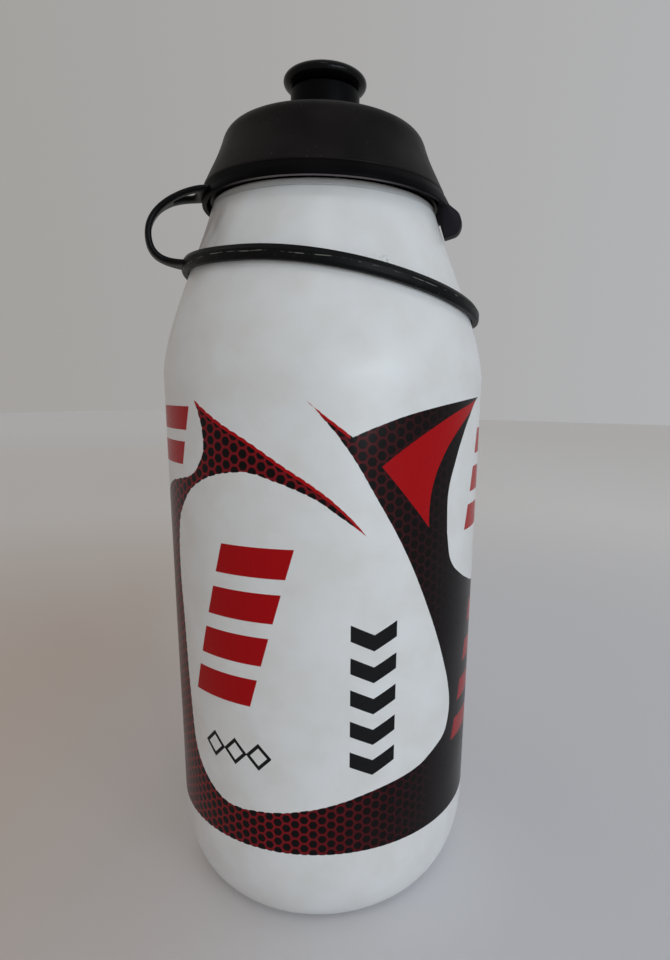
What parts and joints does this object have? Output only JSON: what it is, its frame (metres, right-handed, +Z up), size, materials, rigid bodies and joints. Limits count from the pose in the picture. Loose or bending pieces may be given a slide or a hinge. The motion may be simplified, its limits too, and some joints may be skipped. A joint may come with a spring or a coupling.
{
  "type": "cycling water bottle",
  "caption": "Round squeeze bottle for a bicycle cage, with a domed screw cap, a push-pull nozzle and a looped cap tether.",
  "frame": {"origin": "centre of the foot on the bottle's axis, on the surface that it stands on", "axes": "+Z up along the bottle's axis to the nozzle. The tether's strap is on the -X -Y side, at 225 degrees, and its thumb tab is at 15 degrees"},
  "size_m": [0.074, 0.074, 0.1884],
  "materials": {
    "printed_body": "soft satin white polyethylene with printed ink",
    "cap": "matte, slightly browned black",
    "nozzle": "satin black",
    "mouthpiece": "glossy black",
    "tether": "satin black, scuffed",
    "gasket": "matte grey"
  },
  "bodies": {
    "bottle": {"bottle_body": "printed_body"},
    "neck_ring": {"tether_neck_ring": "tether", "tether_strap": "tether"},
    "cap_ring": {"tether_cap_ring": "tether"},
    "gasket": {"cap_gasket": "gasket"},
    "cap": {"screw_cap": "cap", "valve_pin": "nozzle"},
    "nozzle": {"nozzle_sleeve": "nozzle", "mouthpiece": "mouthpiece"}
  },
  "joints": [
    {"name": "tether_swivel", "type": "hinge", "parent": "bottle", "child": "neck_ring", "pos_m": [0, 0, 0.14], "axis": [0, 0, 1], "continuous": true},
    {"name": "ring_lift", "type": "slide", "parent": "neck_ring", "child": "cap_ring", "axis": [0, 0, 1], "range_m": [0, 0.0106], "deforming": ["tether_strap"]},
    {"name": "cap_lift", "type": "slide", "parent": "bottle", "child": "gasket", "axis": [0, 0, 1], "range_m": [0, 0.0106]},
    {"name": "cap_turn", "type": "hinge", "parent": "gasket", "child": "cap", "pos_m": [0, 0, 0.165], "axis": [0, 0, 1], "range_deg": [0, 1260]},
    {"name": "nozzle_pull", "type": "slide", "parent": "cap", "child": "nozzle", "axis": [0, 0, 1], "range_m": [0, 0.0055]}
  ],
  "couplings": [
    {"joint": "cap_lift", "follows": "cap_turn", "m_per_rad": 0.00047746},
    {"joint": "ring_lift", "follows": "cap_turn", "m_per_rad": 0.00047746}
  ]
}
